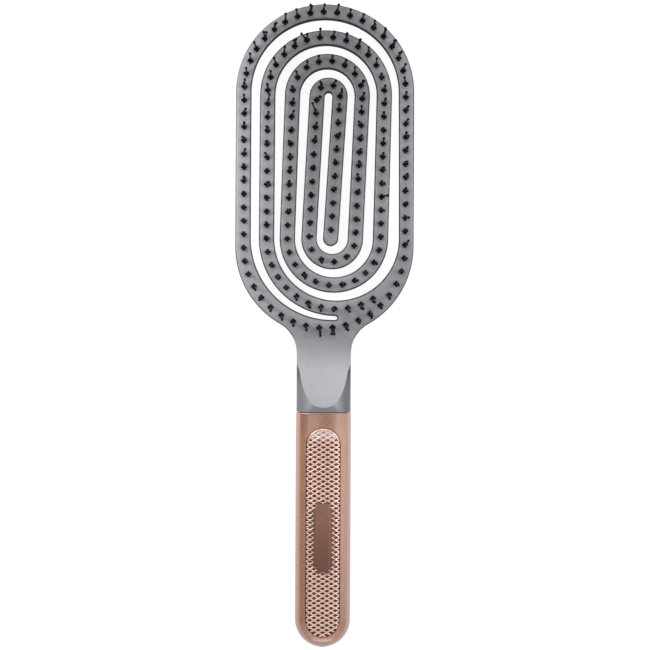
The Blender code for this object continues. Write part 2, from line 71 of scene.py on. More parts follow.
def arcPoints(centre, radius, start, end, step=4.0):
    steps = max(3, math.ceil(abs(end - start) / step))
    turns = [math.radians(start + (end - start) * i / steps) for i in range(steps + 1)]
    return [(centre[0] + radius * math.cos(t), centre[1] + radius * math.sin(t)) for t in turns]


def coilCentre(half):
    x = coil["centres"][half] * coil["pitch"]
    if half % 2 == 0:
        return (x, coil["lowY"])
    return (x, coil["topY"] - coil["topStep"] * (half - 1) / 2)


def coilRadius(half):
    return coil["firstRadius"] - half * coil["pitch"] / 2


def jointPlace(half):
    x = coil["joints"][half] * coil["pitch"]
    cx, cy = coilCentre(half)
    rise = math.sqrt(coilRadius(half) ** 2 - (x - cx) ** 2)
    return (x, cy - rise if half % 2 == 0 else cy + rise)


def angleOf(point, centre):
    return math.degrees(math.atan2(point[1] - centre[1], point[0] - centre[0]))


def halfPath(half):
    first, after = coilCentre(half), coilCentre(half + 1)
    begin = angleOf(jointPlace(half), first)
    if half == 5:
        return arcPoints(first, coilRadius(half), begin, 0) + [(after[0], coil["lowY"])]
    finish = angleOf(jointPlace(half + 1), after)
    side = -180 if half % 2 == 0 else 0
    path = arcPoints(first, coilRadius(half), begin, side)
    return path + arcPoints(after, coilRadius(half + 1), 180 if side else 0, finish)


def rootPath():
    first = coilCentre(0)
    return arcPoints(first, coilRadius(0), angleOf(jointPlace(0), first), 0)


def pathLength(path):
    return sum((Vector(b) - Vector(a)).length for a, b in zip(path, path[1:]))


def placeAlong(path, distance):
    for a, b in zip(path, path[1:]):
        step = Vector(b) - Vector(a)
        if distance <= step.length or b == path[-1]:
            return Vector(a) + step.normalized() * distance
        distance -= step.length


def lifted(point, height):  # a flat place and a height over the face, put on the crowned head
    tilt = math.atan((point[1] - head["crownY"]) / head["crownRadius"])
    face = head["crestZ"] - (point[1] - head["crownY"]) ** 2 / (2 * head["crownRadius"])
    return Vector((point[0], point[1] + height * math.sin(tilt), face + height * math.cos(tilt)))


# ---- mesh helpers

def newObject(name, data):
    made = bpy.data.objects.new(name, data)
    bpy.context.scene.collection.objects.link(made)
    return made


def meshFrom(bm, name):
    mesh = bpy.data.meshes.new(name)
    bm.to_mesh(mesh)
    bm.free()
    return mesh


def slicePlane(bm, place, across, near=0.000001, **options):
    return bmesh.ops.bisect_plane(bm, geom=bm.verts[:] + bm.edges[:] + bm.faces[:], dist=near,
                                  plane_co=place, plane_no=across, **options)["geom_cut"]


paintedShadeLook = {   # painted shade on walls, edges and the neck, and a painted highlight on the lit outer edge; pairs say where a tone starts and where it is full, by lean or by Y
    "deep": 0.95, "lean": (0.42, 0.9), "underLean": (0.15, 0.5), "downward": 0.2,
    "edgeWidth": 0.0012, "outer": 0.85, "outerLean": (0.42, 0.85), "outerFade": 0.5, "fadeLean": (0.88, 0.98),
    "lit": 0.75, "litLean": (0.1, 0.7), "litSideways": 0.5,
    "neckAbove": 0.002, "neckUnder": 0.005, "neckLeft": 0.40, "neckRight": 0.57, "neckLean": (0.1, 0.65),
    "flare": 0.8, "flareY": (-0.025, -0.016), "flareLean": (0.12, 0.5),
    "seam": 0.47, "seamY": (-0.019, -0.029), "seamSlope": (0.02, 0.08), "seamUp": 0.2,
}


def onOuterSide(x, y):  # whether a place lies on the head's outer edge, not on a slot's wall
    near = max(head["lowY"], min(head["topY"], y))
    return math.hypot(x, y - near) > head["radius"] - paintedShadeLook["edgeWidth"]


def smoothStep(start, full, value):  # eased from 0 to 1, rising or falling
    share = max(0.0, min(1.0, (value - start) / (full - start)))
    return share * share * (3 - 2 * share)


def paintedWallShade(face):  # painted shade: walls and rounded edges are darker, the more they turn away from the head's face
    tone, normal = paintedShadeLook, face.normal
    lean = normal.xy.length
    x, y = face.calc_center_median().xy
    down = tone["downward"] * max(0.0, -normal.y)   # painted shade: edges that face the handle turn dark sooner
    start, full = tone["lean"]
    shade = tone["deep"] * (smoothStep(start - down, full - down, lean) if normal.z > 0
                            else smoothStep(*tone["underLean"], lean))
    if onOuterSide(x, y):
        shade = tone["outer"] * smoothStep(*tone["outerLean"], lean)
        shade *= 1 - tone["outerFade"] * smoothStep(*tone["fadeLean"], lean)
        towardLight = normal.y - tone["litSideways"] * normal.x   # painted highlight: the outer edge that faces the light, which comes from the upper left, is painted lighter
        shade *= 1 - tone["lit"] * smoothStep(*tone["litLean"], towardLight)
    # painted shade on the neck's sides and flare, which turn away from the light
    sideways = abs(normal.x)
    side = (tone["neckLeft"] if normal.x < 0 else tone["neckRight"]) * smoothStep(*tone["neckLean"], sideways)
    side += (tone["flare"] * smoothStep(*tone["flareLean"], sideways) - side) * smoothStep(*tone["flareY"], y)
    if normal.z > tone["seamUp"]:   # painted shade: round the sloping facet the neck is darker, down to the seam
        level = 1 - smoothStep(*tone["seamSlope"], normal.y)
        side = max(side, tone["seam"] * smoothStep(*tone["seamY"], y) * level)
    neck = smoothStep(head["neckBelow"] + tone["neckAbove"], head["neckBelow"] - tone["neckUnder"], y)
    return shade + (side - shade) * neck


def addPiece(name, bm, material, body, smoothAngle):
    bmesh.ops.recalc_face_normals(bm, faces=bm.faces)
    bm.normal_update()
    # painted shade on walls and edges, kept at every face corner
    tone = bm.loops.layers.float.new("paintedWallShade")
    for face in bm.faces:
        face.smooth = True
        shade = paintedWallShade(face)
        for loop in face.loops:
            loop[tone] = shade
    mesh = meshFrom(bm, name)
    mesh.set_sharp_from_angle(angle=math.radians(smoothAngle))
    mesh.materials.append(material)
    piece = newObject(name, mesh)
    if body:
        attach(piece, body)
    return piece


def settledBmesh(piece):
    bpy.context.view_layer.update()
    graph = bpy.context.evaluated_depsgraph_get()
    mesh = bpy.data.meshes.new_from_object(piece.evaluated_get(graph))
    mesh.transform(piece.matrix_world)
    bm = bmesh.new()
    bm.from_mesh(mesh)
    bpy.data.meshes.remove(mesh)
    return bm


def roundedSheet(outlines, thickness, rounding, segments=2):  # flat solid, face at zero, edges rounded
    curve = bpy.data.curves.new("outline", "CURVE")
    curve.dimensions = "2D"
    curve.fill_mode = "BOTH"
    curve.extrude = thickness / 2 - rounding
    curve.bevel_depth = rounding
    curve.bevel_resolution = segments
    curve.offset = -rounding
    for outline in outlines:
        spline = curve.splines.new("POLY")
        spline.points.add(len(outline) - 1)
        for point, (x, y) in zip(spline.points, outline):
            point.co = (x, y, 0, 1)
        spline.use_cyclic_u = True
    flat = newObject("outline", curve)
    flat.location.z = -thickness / 2
    bm = settledBmesh(flat)
    bpy.data.objects.remove(flat)
    bmesh.ops.remove_doubles(bm, verts=bm.verts, dist=0.000004)
    return bm


def combineBmesh(bm, cutterBm, operation):  # exact Boolean of two closed shapes
    pair = []
    for part in (bm, cutterBm):
        bmesh.ops.remove_doubles(part, verts=part.verts, dist=0.00002)
        bmesh.ops.triangulate(part, faces=part.faces)
        bmesh.ops.recalc_face_normals(part, faces=part.faces)
        pair.append(newObject("boolean", meshFrom(part, "boolean")))
    tool = pair[0].modifiers.new("boolean", "BOOLEAN")
    tool.object = pair[1]
    tool.operation = operation
    tool.solver = "EXACT"
    result = settledBmesh(pair[0])
    for made in pair:
        bpy.data.objects.remove(made)
    return result


def looseParts(bm):
    bm.verts.ensure_lookup_table()
    bm.verts.index_update()
    seen, parts = set(), []
    for start in bm.verts:
        if start.index in seen:
            continue
        body, edge = {start.index}, [start]
        while edge:
            vert = edge.pop()
            for link in vert.link_edges:
                other = link.other_vert(vert)
                if other.index not in body:
                    body.add(other.index)
                    edge.append(other)
        seen |= body
        part = bm.copy()
        part.verts.ensure_lookup_table()
        bmesh.ops.delete(part, geom=[v for v in part.verts if v.index not in body], context="VERTS")
        parts.append(part)
    return parts


# ---- materials

def feed(tree, node, inputs):  # each input takes a value, or a link from the output given
    for label, value in inputs.items():
        if isinstance(value, bpy.types.NodeSocket):
            tree.links.new(value, node.inputs[label])
        else:
            node.inputs[label].default_value = value


def addNode(tree, kind, inputs=None, **settings):
    node = tree.nodes.new(kind)
    for label, value in settings.items():
        setattr(node, label, value)
    feed(tree, node, inputs or {})
    return node


grainLook = {"fineDetail": 3.0, "fineRough": 0.6, "cloudScale": 45.0, "cloudDetail": 4.0}


def surfaceGrainGroup():  # fine moulded or lacquered grain: two masks and a normal
    group = bpy.data.node_groups.new("surfaceGrain", "ShaderNodeTree")
    for label, value in (("Scale", 4000.0), ("Bump", 0.1), ("Distance", 0.0001)):
        socket = group.interface.new_socket(label, in_out="INPUT", socket_type="NodeSocketFloat")
        socket.default_value = value
    for label in ("Grain", "Clouds"):
        group.interface.new_socket(label, in_out="OUTPUT", socket_type="NodeSocketFloat")
    group.interface.new_socket("Normal", in_out="OUTPUT", socket_type="NodeSocketVector")
    given, out = group.nodes.new("NodeGroupInput").outputs, group.nodes.new("NodeGroupOutput")
    place = addNode(group, "ShaderNodeTexCoord").outputs["Object"]
    fine = addNode(group, "ShaderNodeTexNoise", {
        "Vector": place, "Scale": given["Scale"],
        "Detail": grainLook["fineDetail"], "Roughness": grainLook["fineRough"]}).outputs["Fac"]
    clouds = addNode(group, "ShaderNodeTexNoise", {
        "Vector": place, "Scale": grainLook["cloudScale"], "Detail": grainLook["cloudDetail"]}).outputs["Fac"]
    bump = addNode(group, "ShaderNodeBump", {
        "Strength": given["Bump"], "Distance": given["Distance"], "Height": fine})
    feed(group, out, {"Grain": fine, "Clouds": clouds, "Normal": bump.outputs["Normal"]})
    return group


surfaceGrain = surfaceGrainGroup()


def blankMaterial(name):
    material = bpy.data.materials.new(name)
    material.use_nodes = True
    return material, material.node_tree, material.node_tree.nodes["Principled BSDF"]


def grainOutputs(tree, look):
    inputs = {"Scale": look["grainScale"], "Bump": look["bump"], "Distance": look["distance"]}
    return addNode(tree, "ShaderNodeGroup", inputs, node_tree=surfaceGrain).outputs


def ramp(tree, share, stops):
    node = addNode(tree, "ShaderNodeValToRGB", {"Fac": share})
    ends = node.color_ramp.elements
    for end, (place, colour) in ((ends[0], stops[0]), (ends[1], stops[-1])):
        end.position = place
        end.color = (*colour, 1)
    for place, colour in stops[1:-1]:
        ends.new(place).color = (*colour, 1)
    return node.outputs["Color"]


def attribute(tree, name):
    return addNode(tree, "ShaderNodeAttribute", attribute_name=name).outputs["Fac"]


def mapRange(tree, value, given, wanted, easing="LINEAR"):
    inputs = dict(zip(("From Min", "From Max", "To Min", "To Max"), (*given, *wanted)), Value=value)
    return addNode(tree, "ShaderNodeMapRange", inputs, interpolation_type=easing).outputs["Result"]


def mixInto(tree, share, first, colour):  # from what comes in to one plain colour
    inputs = {"Factor": share, "A": first, "B": (*colour, 1)}
    return addNode(tree, "ShaderNodeMix", inputs, data_type="RGBA").outputs["Result"]


def paintedLightAndShade(tree, tinted, look):  # painted light and shade: tones that run along Y, and a rise towards each side
    place = addNode(tree, "ShaderNodeTexCoord").outputs["Object"]
    parts = addNode(tree, "ShaderNodeSeparateXYZ", {"Vector": place}).outputs
    low, high = look["along"][0][0], look["along"][-1][0]
    tones = ramp(tree, mapRange(tree, parts["Y"], (low, high), (0.0, 1.0)), [
        ((y - low) / (high - low), tone if isinstance(tone, tuple) else (tone, tone, tone))
        for y, tone in look["along"]])
    inputs = {0: tinted, 1: tones}
    tinted = addNode(tree, "ShaderNodeVectorMath", inputs, operation="MULTIPLY").outputs["Vector"]
    extra = 1.0
    for edge, lowTone, highTone in look["sides"]:
        reach = mapRange(tree, parts["X"], (edge * look["sideFrom"], edge), (0.0, 1.0), "SMOOTHSTEP")
        rise = mapRange(tree, parts["Y"], (look["sideLowY"], high), (lowTone, highTone))
        inputs = {0: reach, 1: rise, 2: extra}
        extra = addNode(tree, "ShaderNodeMath", inputs, operation="MULTIPLY_ADD").outputs["Value"]
    inputs = {0: tinted, "Scale": extra}
    return addNode(tree, "ShaderNodeVectorMath", inputs, operation="SCALE").outputs["Vector"]


def grained(name, look):  # one finish over fine grain and wide clouds
    material, tree, shader = blankMaterial(name)
    feed(tree, shader, {"Metallic": look["metallic"], "Specular IOR Level": look["specular"]})
    grain = grainOutputs(tree, look)
    inputs = {0: grain["Clouds"], 1: look["cloudShare"], 2: grain["Grain"]}
    blend = addNode(tree, "ShaderNodeMath", inputs, operation="MULTIPLY_ADD").outputs["Value"]
    tinted = ramp(tree, blend, look["colours"])
    # painted light and shade along Y and towards the sides
    if "along" in look:
        tinted = paintedLightAndShade(tree, tinted, look)
    if "paintedSheen" in look:   # painted sheen: seen aslant, the lacquer takes a paler colour, and it loses its coat
        start, full, colour = look["paintedSheen"]
        facing = addNode(tree, "ShaderNodeLayerWeight", {"Blend": 0.5}).outputs["Facing"]
        turn = mapRange(tree, facing, (start, full), (0.0, 1.0), "SMOOTHSTEP")
        tinted = mixInto(tree, turn, tinted, colour)
        fade = mapRange(tree, facing, (start, look["coatEnd"]), (look["coat"], look["aslantCoat"]))
        feed(tree, shader, {"Coat Weight": look["coat"], "Coat Roughness": look["coatRough"],
                            "Coat IOR": look["coatIor"]})
        feed(tree, shader, {"Coat Weight": fade})
    if "paintedShadeColour" in look:   # painted shade on walls and edges, and no gloss deep in the slots
        wall = attribute(tree, "paintedWallShade")
        tinted = mixInto(tree, wall, tinted, look["paintedShadeColour"])
        feed(tree, shader, {"Specular IOR Level": mapRange(tree, wall, (0.0, 1.0), (look["specular"], 0.0))})
    feed(tree, shader, {"Base Color": tinted, "Normal": grain["Normal"],
                        "Roughness": mapRange(tree, grain["Clouds"], (0.0, 1.0), look["rough"])})
    return material


greyLook = {
    "grainScale": 3000.0, "bump": 0.22, "distance": 0.00006, "cloudShare": 0.8,
    "colours": [(0.55, (0.188, 0.192, 0.204)), (0.9, (0.208, 0.212, 0.225)), (1.0, (0.228, 0.232, 0.246))],
    # the wall colour is the painted shade on walls and rounded edges
    "rough": (0.38, 0.46), "metallic": 0.0, "specular": 0.5, "paintedShadeColour": (0.022, 0.022, 0.025),
    "along": [(-0.03, 1.42), (-0.018, 1.46), (-0.008, 1.13), (0.006, 1.38), (0.024, 1.24), (0.057, 0.9),
              (0.1, 0.71), (0.12, 0.69)],   # Y and the painted light tone there, from the neck to the head's far end: lighter on the neck's facet, painted shade towards the far end
    "sides": [(-0.031, 0.12, 1.02), (0.031, -0.16, 0.82)],   # X, and the painted light added towards that side at the low and the far end; a negative one is painted shade
    "sideFrom": 0.16, "sideLowY": 0.02,
}
roseLook = {
    "grainScale": 3200.0, "bump": 0.2, "distance": 0.00004, "cloudShare": 0.25,
    "colours": [(0.48, (0.24, 0.098, 0.05)), (0.62, (0.34, 0.138, 0.07)), (0.78, (0.50, 0.235, 0.14))],
    "rough": (0.26, 0.32), "metallic": 0.1, "specular": 1.0, "coat": 1.0, "coatRough": 0.24,
    "coatIor": 1.65, "coatEnd": 0.8, "aslantCoat": 0.1,
    "along": [(-0.1225, (1.9, 2.4, 3.3)), (-0.1185, (1.7, 2.1, 2.8)), (-0.112, 1.0), (-0.042, 1.0),
              (-0.036, 0.74), (-0.033, 0.74)],   # painted light, paler, at the butt; painted shade, darker, below the seam
    "sides": (),
    "paintedSheen": (0.16, 0.42, (0.47, 0.24, 0.19)),   # painted sheen: from how far aslant, where it is full, and its colour
}
plaqueLook = {
    "grainScale": 7000.0, "bump": 0.3, "distance": 0.00005, "cloudShare": 0.5,
    "colours": [(0.45, (0.20, 0.09, 0.066)), (0.75, (0.25, 0.12, 0.09)), (1.0, (0.31, 0.16, 0.12))],
    "rough": (0.40, 0.48), "metallic": 0.75, "specular": 0.5,
}
nylonLook = {
    "grainScale": 6000.0, "bump": 0.1, "distance": 0.00003, "cloudShare": 0.5,
    "colours": [(0.4, (0.004, 0.0035, 0.005)), (0.8, (0.006, 0.005, 0.008)), (1.0, (0.010, 0.008, 0.012))],
    "rough": (0.36, 0.46), "metallic": 0.0, "specular": 0.08,
}
netLook = {
    "grainScale": 8000.0, "bump": 0.15, "distance": 0.00003,
    "ribs": [(0.0, (0.95, 0.62, 0.525)), (1.0, (1.0, 0.78, 0.70))],
    # the pit colour is painted shade in the pits; the pale colour is a painted highlight on the net's upper
    # end
    "pitShadeColour": (0.19, 0.075, 0.048), "paintedHighlight": (1.0, 0.80, 0.745), "rough": (0.3, 0.5), "metallic": 0.85,
}

greyPlastic = grained("greyPlastic", greyLook)
roseSatin = grained("roseSatin", roseLook)
plaqueBronze = grained("plaqueBronze", plaqueLook)
pinNylon = grained("pinNylon", nylonLook)


def netMaterial():  # bright rib tops, painted shade on the pit floors and a painted highlight on the upper end, told apart by the net's own attributes
    material, tree, shader = blankMaterial("netRose")
    grain = grainOutputs(tree, netLook)
    depth = attribute(tree, "paintedPitShade")
    ribs = ramp(tree, grain["Clouds"], netLook["ribs"])
    tops = mixInto(tree, attribute(tree, "paintedHighlightEnd"), ribs, netLook["paintedHighlight"])
    feed(tree, shader, {"Base Color": mixInto(tree, depth, tops, netLook["pitShadeColour"]),
                        "Roughness": mapRange(tree, depth, (0.0, 1.0), netLook["rough"]),
                        "Normal": grain["Normal"], "Metallic": netLook["metallic"]})
    return material


netRose = netMaterial()
print("materials made")


# ---- grey head: rim, spiral band and neck, one moulding in the real brush

headLook = {
    "edgeRound": 0.0011, "slice": 0.0026, "tongueHalf": 0.67, "neckPower": 2.05, "seamPower": 0.45,
    "squarePower": 3.6, "squareFrom": -0.0105, "squareEnd": -0.0178, "neckSteps": 26, "backRise": 0.7,
    "fullFrom": -0.027, "fullRun": 0.015, "lateRun": 0.006, "lowTop": 0.0024, "overlap": 0.0003,
    "lip": 0.0004, "facetDrop": 0.0001, "facetEnd": 0.0021, "facetRound": 0.0010, "facetSag": 0.0009,
    "facetClear": 0.0012, "facetSlices": 18, "facetColumns": (0.0, 0.0025, 0.0045, 0.0065, 0.0085, 0.0096),
    "tenonPower": 3.0,   # hidden tenon: how far each ring lies past the seam and inside the handle
    "tenonRings": ((-0.0003, 0.0025), (0.0145, 0.0025), (0.016, 0.0022), (0.0175, 0.0025), (0.023, 0.0025)),
    "earlyTop": 1.2, "earlyPower": 1.5, "neckTuck": 0.0001,
    "cutReach": 0.0042, "linkWide": 0.004, "bandSeed": 0.15, "seedNear": 0.6, "smoothAngle": 40,
}


def flareCentre():
    across = head["neckHalf"] + head["flare"]
    down = math.sqrt((head["radius"] + head["flare"]) ** 2 - across ** 2)
    return (across, head["lowY"] - down), -math.degrees(math.atan2(down, across))


def headOutline():
    (across, flareY), meet = flareCentre()
    left = [(-head["neckHalf"] * headLook["tongueHalf"], flareY - head["tongue"])]
    left += arcPoints((-across, flareY), head["flare"], 0, -meet)
    left += arcPoints((0, head["lowY"]), head["radius"], -180 - meet, -180, 2.5)[1:]
    top = arcPoints((0, head["topY"]), head["radius"], 180, 0, 2.5)
    return left + top + [(-x, y) for x, y in reversed(left)]


def slotOutline():
    halfBand = coil["band"] / 2
    root = (coil["slotRootX"], coil["lowY"])
    reach = coil["slotTipX"] - coil["slotRootX"]
    start = -90 + math.degrees(math.asin(reach / coil["slotRootRadius"]))
    line = arcPoints(root, coil["slotRootRadius"], start, -180, 2.5)
    line += arcPoints((0, head["topY"]), head["radius"] - coil["rim"], 180, 0, 2.5)
    for half in (0, 2, 4):
        line += arcPoints(coilCentre(half), coilRadius(half) - halfBand, 0, -180)
        line += arcPoints(coilCentre(half + 1), coilRadius(half + 1) - halfBand, 180, 0, 4.0 + half * 2)
    line += arcPoints((coilCentre(6)[0], coil["lowY"]), halfBand, -180, 0, 12)
    for half in (4, 2, 0):
        line += arcPoints(coilCentre(half + 1), coilRadius(half + 1) + halfBand, 0, 180)
        tipShare = (coil["slotTipX"] - coilCentre(0)[0]) / (coilRadius(0) + halfBand)
        end = 0 if half else -90 + math.degrees(math.asin(tipShare))
        line += arcPoints(coilCentre(half), coilRadius(half) + halfBand, -180, end)
    low, high = Vector(line[0]), Vector(line[-1])
    return line + arcPoints((low + high) / 2, (high - low).length / 2, 90, -90, 20)[1:-1]


def superSection(half, low, high, power, y):
    points = []
    for i in range(brush["ringSides"]):
        turn = 2 * math.pi * (i + 0.5) / brush["ringSides"]
        x = math.copysign(abs(math.cos(turn)) ** (2 / power), math.cos(turn))
        z = math.copysign(abs(math.sin(turn)) ** (2 / power), math.sin(turn))
        points.append(Vector((half * x, y, (low + high) / 2 + (high - low) / 2 * z)))
    return points


def insetSection(inset, y, power):  # the handle's own section, drawn in by the inset
    return superSection(brush["width"] / 2 - inset, inset, brush["thick"] - inset, power, y)


def loftRings(sections):  # a ring drawn out along the sections, both ends closed
    bm = bmesh.new()
    ring = bmesh.ops.create_circle(bm, cap_ends=False, segments=len(sections[0]), radius=0.001)["verts"]
    order = sorted(ring, key=lambda v: math.atan2(v.co.y, v.co.x) % (2 * math.pi))
    edges = first = list(bm.edges)
    for vert, point in zip(order, sections[0]):
        vert.co = point
    for section in sections[1:]:
        made = bmesh.ops.extrude_edge_only(bm, edges=edges)["geom"]
        edges = [g for g in made if isinstance(g, BMEdge)]
        fresh = [g for g in made if isinstance(g, BMVert)]
        partner = {}
        for vert in fresh:
            for link in vert.link_edges:
                other = link.other_vert(vert)
                if other not in fresh:
                    partner[other] = vert
        order = [partner[vert] for vert in order]
        for vert, point in zip(order, section):
            vert.co = point
    bmesh.ops.contextual_create(bm, geom=first)
    bmesh.ops.contextual_create(bm, geom=edges)
    bmesh.ops.recalc_face_normals(bm, faces=bm.faces)
    return bm


def neckHalfAt(y):
    flareY = flareCentre()[0][1]
    if y <= flareY:
        return head["neckHalf"]
    rise = math.sqrt(head["flare"] ** 2 - (y - flareY) ** 2)
    return head["neckHalf"] + head["flare"] - rise


def neckBar():
    overlap = headLook["overlap"]
    topY = head["lowY"] - head["radius"] - overlap
    run = topY - brush["seamY"] - overlap
    back = lifted((0, topY), -head["plate"]).z + overlap
    sections = []
    for i in range(headLook["neckSteps"]):
        y = topY - run * i / (headLook["neckSteps"] - 1)
        away = min(1, (topY - y) / (run * headLook["backRise"]))
        early = max(0.0, (y - headLook["fullFrom"]) / headLook["fullRun"])
        late = min(1.0, max(0.0, (headLook["fullFrom"] - y) / headLook["lateRun"]))
        joined = smoothStep(headLook["squareEnd"], headLook["squareFrom"], y)
        power = headLook["neckPower"] + headLook["seamPower"] * late + headLook["squarePower"] * joined
        drop = headLook["lowTop"] * min(headLook["earlyTop"], early) ** headLook["earlyPower"]
        sections.append(superSection(neckHalfAt(y) - headLook["neckTuck"], back * (1 - away) ** 2,
                                     brush["thick"] - drop, power, y))
    for past, inside in headLook["tenonRings"]:
        sections.append(insetSection(inside, brush["seamY"] - past, headLook["tenonPower"]))
    bm = loftRings(sections)
    low = lifted((0, topY - headLook["lip"]), -headLook["facetDrop"])
    high = Vector((0, brush["seamY"] + headLook["facetEnd"], brush["thick"]))
    slope = (high - low).normalized()
    cut = slicePlane(bm, (low + high) / 2, Vector((0, slope.z, -slope.y)), clear_outer=True)
    rim = [g for g in cut if isinstance(g, BMEdge)]
    facet = bmesh.ops.contextual_create(bm, geom=rim)["faces"]
    bmesh.ops.recalc_face_normals(bm, faces=bm.faces)
    soft = [e for f in facet for e in f.edges
            if (e.verts[0].co.y + e.verts[1].co.y) / 2 < topY - headLook["facetClear"]]
    bmesh.ops.bevel(bm, geom=soft, offset=headLook["facetRound"], segments=4, profile=0.5,
                    affect="EDGES", clamp_overlap=True, material=-1)
    slices = headLook["facetSlices"]
    for i in range(1, slices):
        slicePlane(bm, (0, low.y + (high.y - low.y) * i / slices, 0), (0, 1, 0))
    columns = headLook["facetColumns"]
    for x in [-x for x in columns[:0:-1]] + list(columns):
        slicePlane(bm, (x, 0, 0), (1, 0, 0))
    for vert in bm.verts:   # the facet hollows out of the head's face before it climbs to the handle
        share = (low.y - vert.co.y) / (low.y - high.y)
        if 0 < share < 1:
            sag = headLook["facetSag"] * 6.75 * share * (1 - share) ** 2   # 6.75 makes the deepest place 1
            line = low.z + (high.z - low.z) * share
            vert.co.z -= sag * max(0.0, min(1.0, vert.co.z / line)) ** 3
    return bm


def linkEnds(half):  # both ends of the short link at a joint, and the middle of its curve
    middle = coilCentre(half)
    turn = math.radians(angleOf(jointPlace(half), middle))
    swing = coil["linkHalf"] / coilRadius(half)
    ends = []
    for at in (turn + swing, turn - swing):   # the band runs clockwise from its root
        ends.append(Vector((middle[0] + coilRadius(half) * math.cos(at),
                            middle[1] + coilRadius(half) * math.sin(at), 0)))
    return ends, Vector((*middle, 0))


def crossingPoints(face, place, across):
    points = []
    for edge in face.edges:
        a, b = edge.verts[0].co, edge.verts[1].co
        before, after = (a - place).dot(across), (b - place).dot(across)
        if before * after < 0:
            points.append(a.lerp(b, before / (before - after)).xy)
    return points


def cutLinks(bm):  # parts the band at both ends of each joint's short link
    reach = headLook["cutReach"]
    for half in range(6):
        ends, middle = linkEnds(half)
        for place in ends:
            out = (place - middle).normalized()
            across = Vector((-out.y, out.x, 0))
            geometry = {}   # kept in order, so that every run cuts alike
            for face in bm.faces:
                points = crossingPoints(face, place, across)
                if points and max((point - place.xy).length for point in points) < reach:
                    geometry.update(dict.fromkeys([face, *face.edges, *face.verts]))
            bmesh.ops.bisect_plane(bm, geom=list(geometry), dist=0.00002, plane_co=place, plane_no=across)
            seam = [e for e in bm.edges
                    if all(abs((v.co - place).dot(across)) < 0.000025
                           and (v.co.xy - place.xy).length < reach for v in e.verts)]
            bmesh.ops.split_edges(bm, edges=seam)


def sliceAndBend(bm):
    y = min(v.co.y for v in bm.verts) + headLook["slice"]
    high = max(v.co.y for v in bm.verts)
    while y < high:
        slicePlane(bm, (0, y, 0), (0, 1, 0), 0.00001)
        y += headLook["slice"]
    for vert in bm.verts:
        vert.co = lifted(vert.co, vert.co.z)


def addGrey(name, bm, body):
    piece = addPiece(name, bm, greyPlastic, body, headLook["smoothAngle"])
    return piece


def makeHead():
    bm = roundedSheet([headOutline(), slotOutline()[::-1]], head["plate"], headLook["edgeRound"], 4)
    cutLinks(bm)
    seeds = {"rimAndNeck": (-head["radius"] + coil["rim"] / 2, head["topY"])}
    for half in range(6):
        path = halfPath(half)
        seeds[f"coilBand_{half + 1}"] = placeAlong(path, pathLength(path) * headLook["bandSeed"])
        seeds[f"bandLink_{half + 1}"] = jointPlace(half)
    pieces = {}
    for part in looseParts(bm):
        if len(part.verts) < 20:   # a sliver of a cut
            continue
        xs = [v.co.x for v in part.verts]
        small = max(xs) - min(xs) < headLook["linkWide"]
        for name, place in seeds.items():
            near = min((v.co.xy - Vector(place)).length for v in part.verts)
            if (name not in pieces and near < coil["band"] * headLook["seedNear"]
                    and small == name.startswith("bandLink")):
                pieces[name] = part
                break
    for name, part in pieces.items():
        holes = [e for e in part.edges if len(e.link_faces) == 1]
        if holes:
            bmesh.ops.holes_fill(part, edges=holes, sides=0)
        bmesh.ops.triangulate(part, faces=[f for f in part.faces if len(f.verts) > 4])
        sliceAndBend(part)
    rim = combineBmesh(pieces.pop("rimAndNeck"), neckBar(), "UNION")
    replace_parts(addGrey("rimAndNeck", rim, "brush frame"), "head_frame")
    for half in range(1, 7):
        band = addGrey(f"coilBand_{half}", pieces[f"coilBand_{half}"], f"coil {half}")
        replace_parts(band, f"coil_half_{half}")
        link = addGrey(f"bandLink_{half}", pieces[f"bandLink_{half}"], None)
        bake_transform(link)


makeHead()
print("head made")


# ---- tufts of pins

tuftLook = {
    "seed": 11, "length": 0.0099, "stemRadius": 0.00038, "ballRadius": 0.0006, "ringRadius": 0.00067,
    "stubRadius": 0.00056, "stubHeight": (0.0009, 0.0015), "splay": 0.035, "secondShare": 0.5,
    "stemFoot": 1.15, "stemTop": 0.85, "stubTop": 0.9, "stubInset": 0.35, "stubDome": 0.2,
    "drift": 0.02, "strayShare": 0.08, "strayTimes": 2.2,
    "lowRowY": 0.012, "lowRowLean": 0.07, "middleLean": 0.18, "middleX": 0.0004, "middleHalf": 0.003,
    "sink": 0.0003, "pinSpoke": 0.45, "pinShort": 0.93, "turnChance": 0.12, "stubChance": (0.92, 1.06),
    "rimGroups": (4, 4, 4, 10, 4, 4, 5, 4, 4, 10, 4, 4), "rimStart": 2.14, "rimRow": 0.0307009,
    "coilGroups": ((4, 4, 10, 4, 3), (3, 4, 10, 3, 3), (3, 3, 10, 2, 2), (2, 2, 11, 3), (3, 11), (12,)),
    "rootTufts": 4, "lastShare": 0.156,
}


def rimPath():
    row = tuftLook["rimRow"]
    around = 2 * math.pi * row + 2 * (head["topY"] - head["lowY"])
    begin = -90 + math.degrees(tuftLook["rimStart"] * around / sum(tuftLook["rimGroups"]) / row)
    path = arcPoints((0, head["lowY"]), row, begin, -180, 2) + arcPoints((0, head["topY"]), row, 180, 0, 2)
    return path + arcPoints((0, head["lowY"]), row, 0, begin, 2)


def tuftRow(path, groups, spareShare=0.0):
    pitch = pathLength(path) / (sum(groups) + spareShare)
    places, done = [], 0
    for group in groups:
        places.append([placeAlong(path, (done + i + 0.5) * pitch) for i in range(group)])
        done += group
    return places


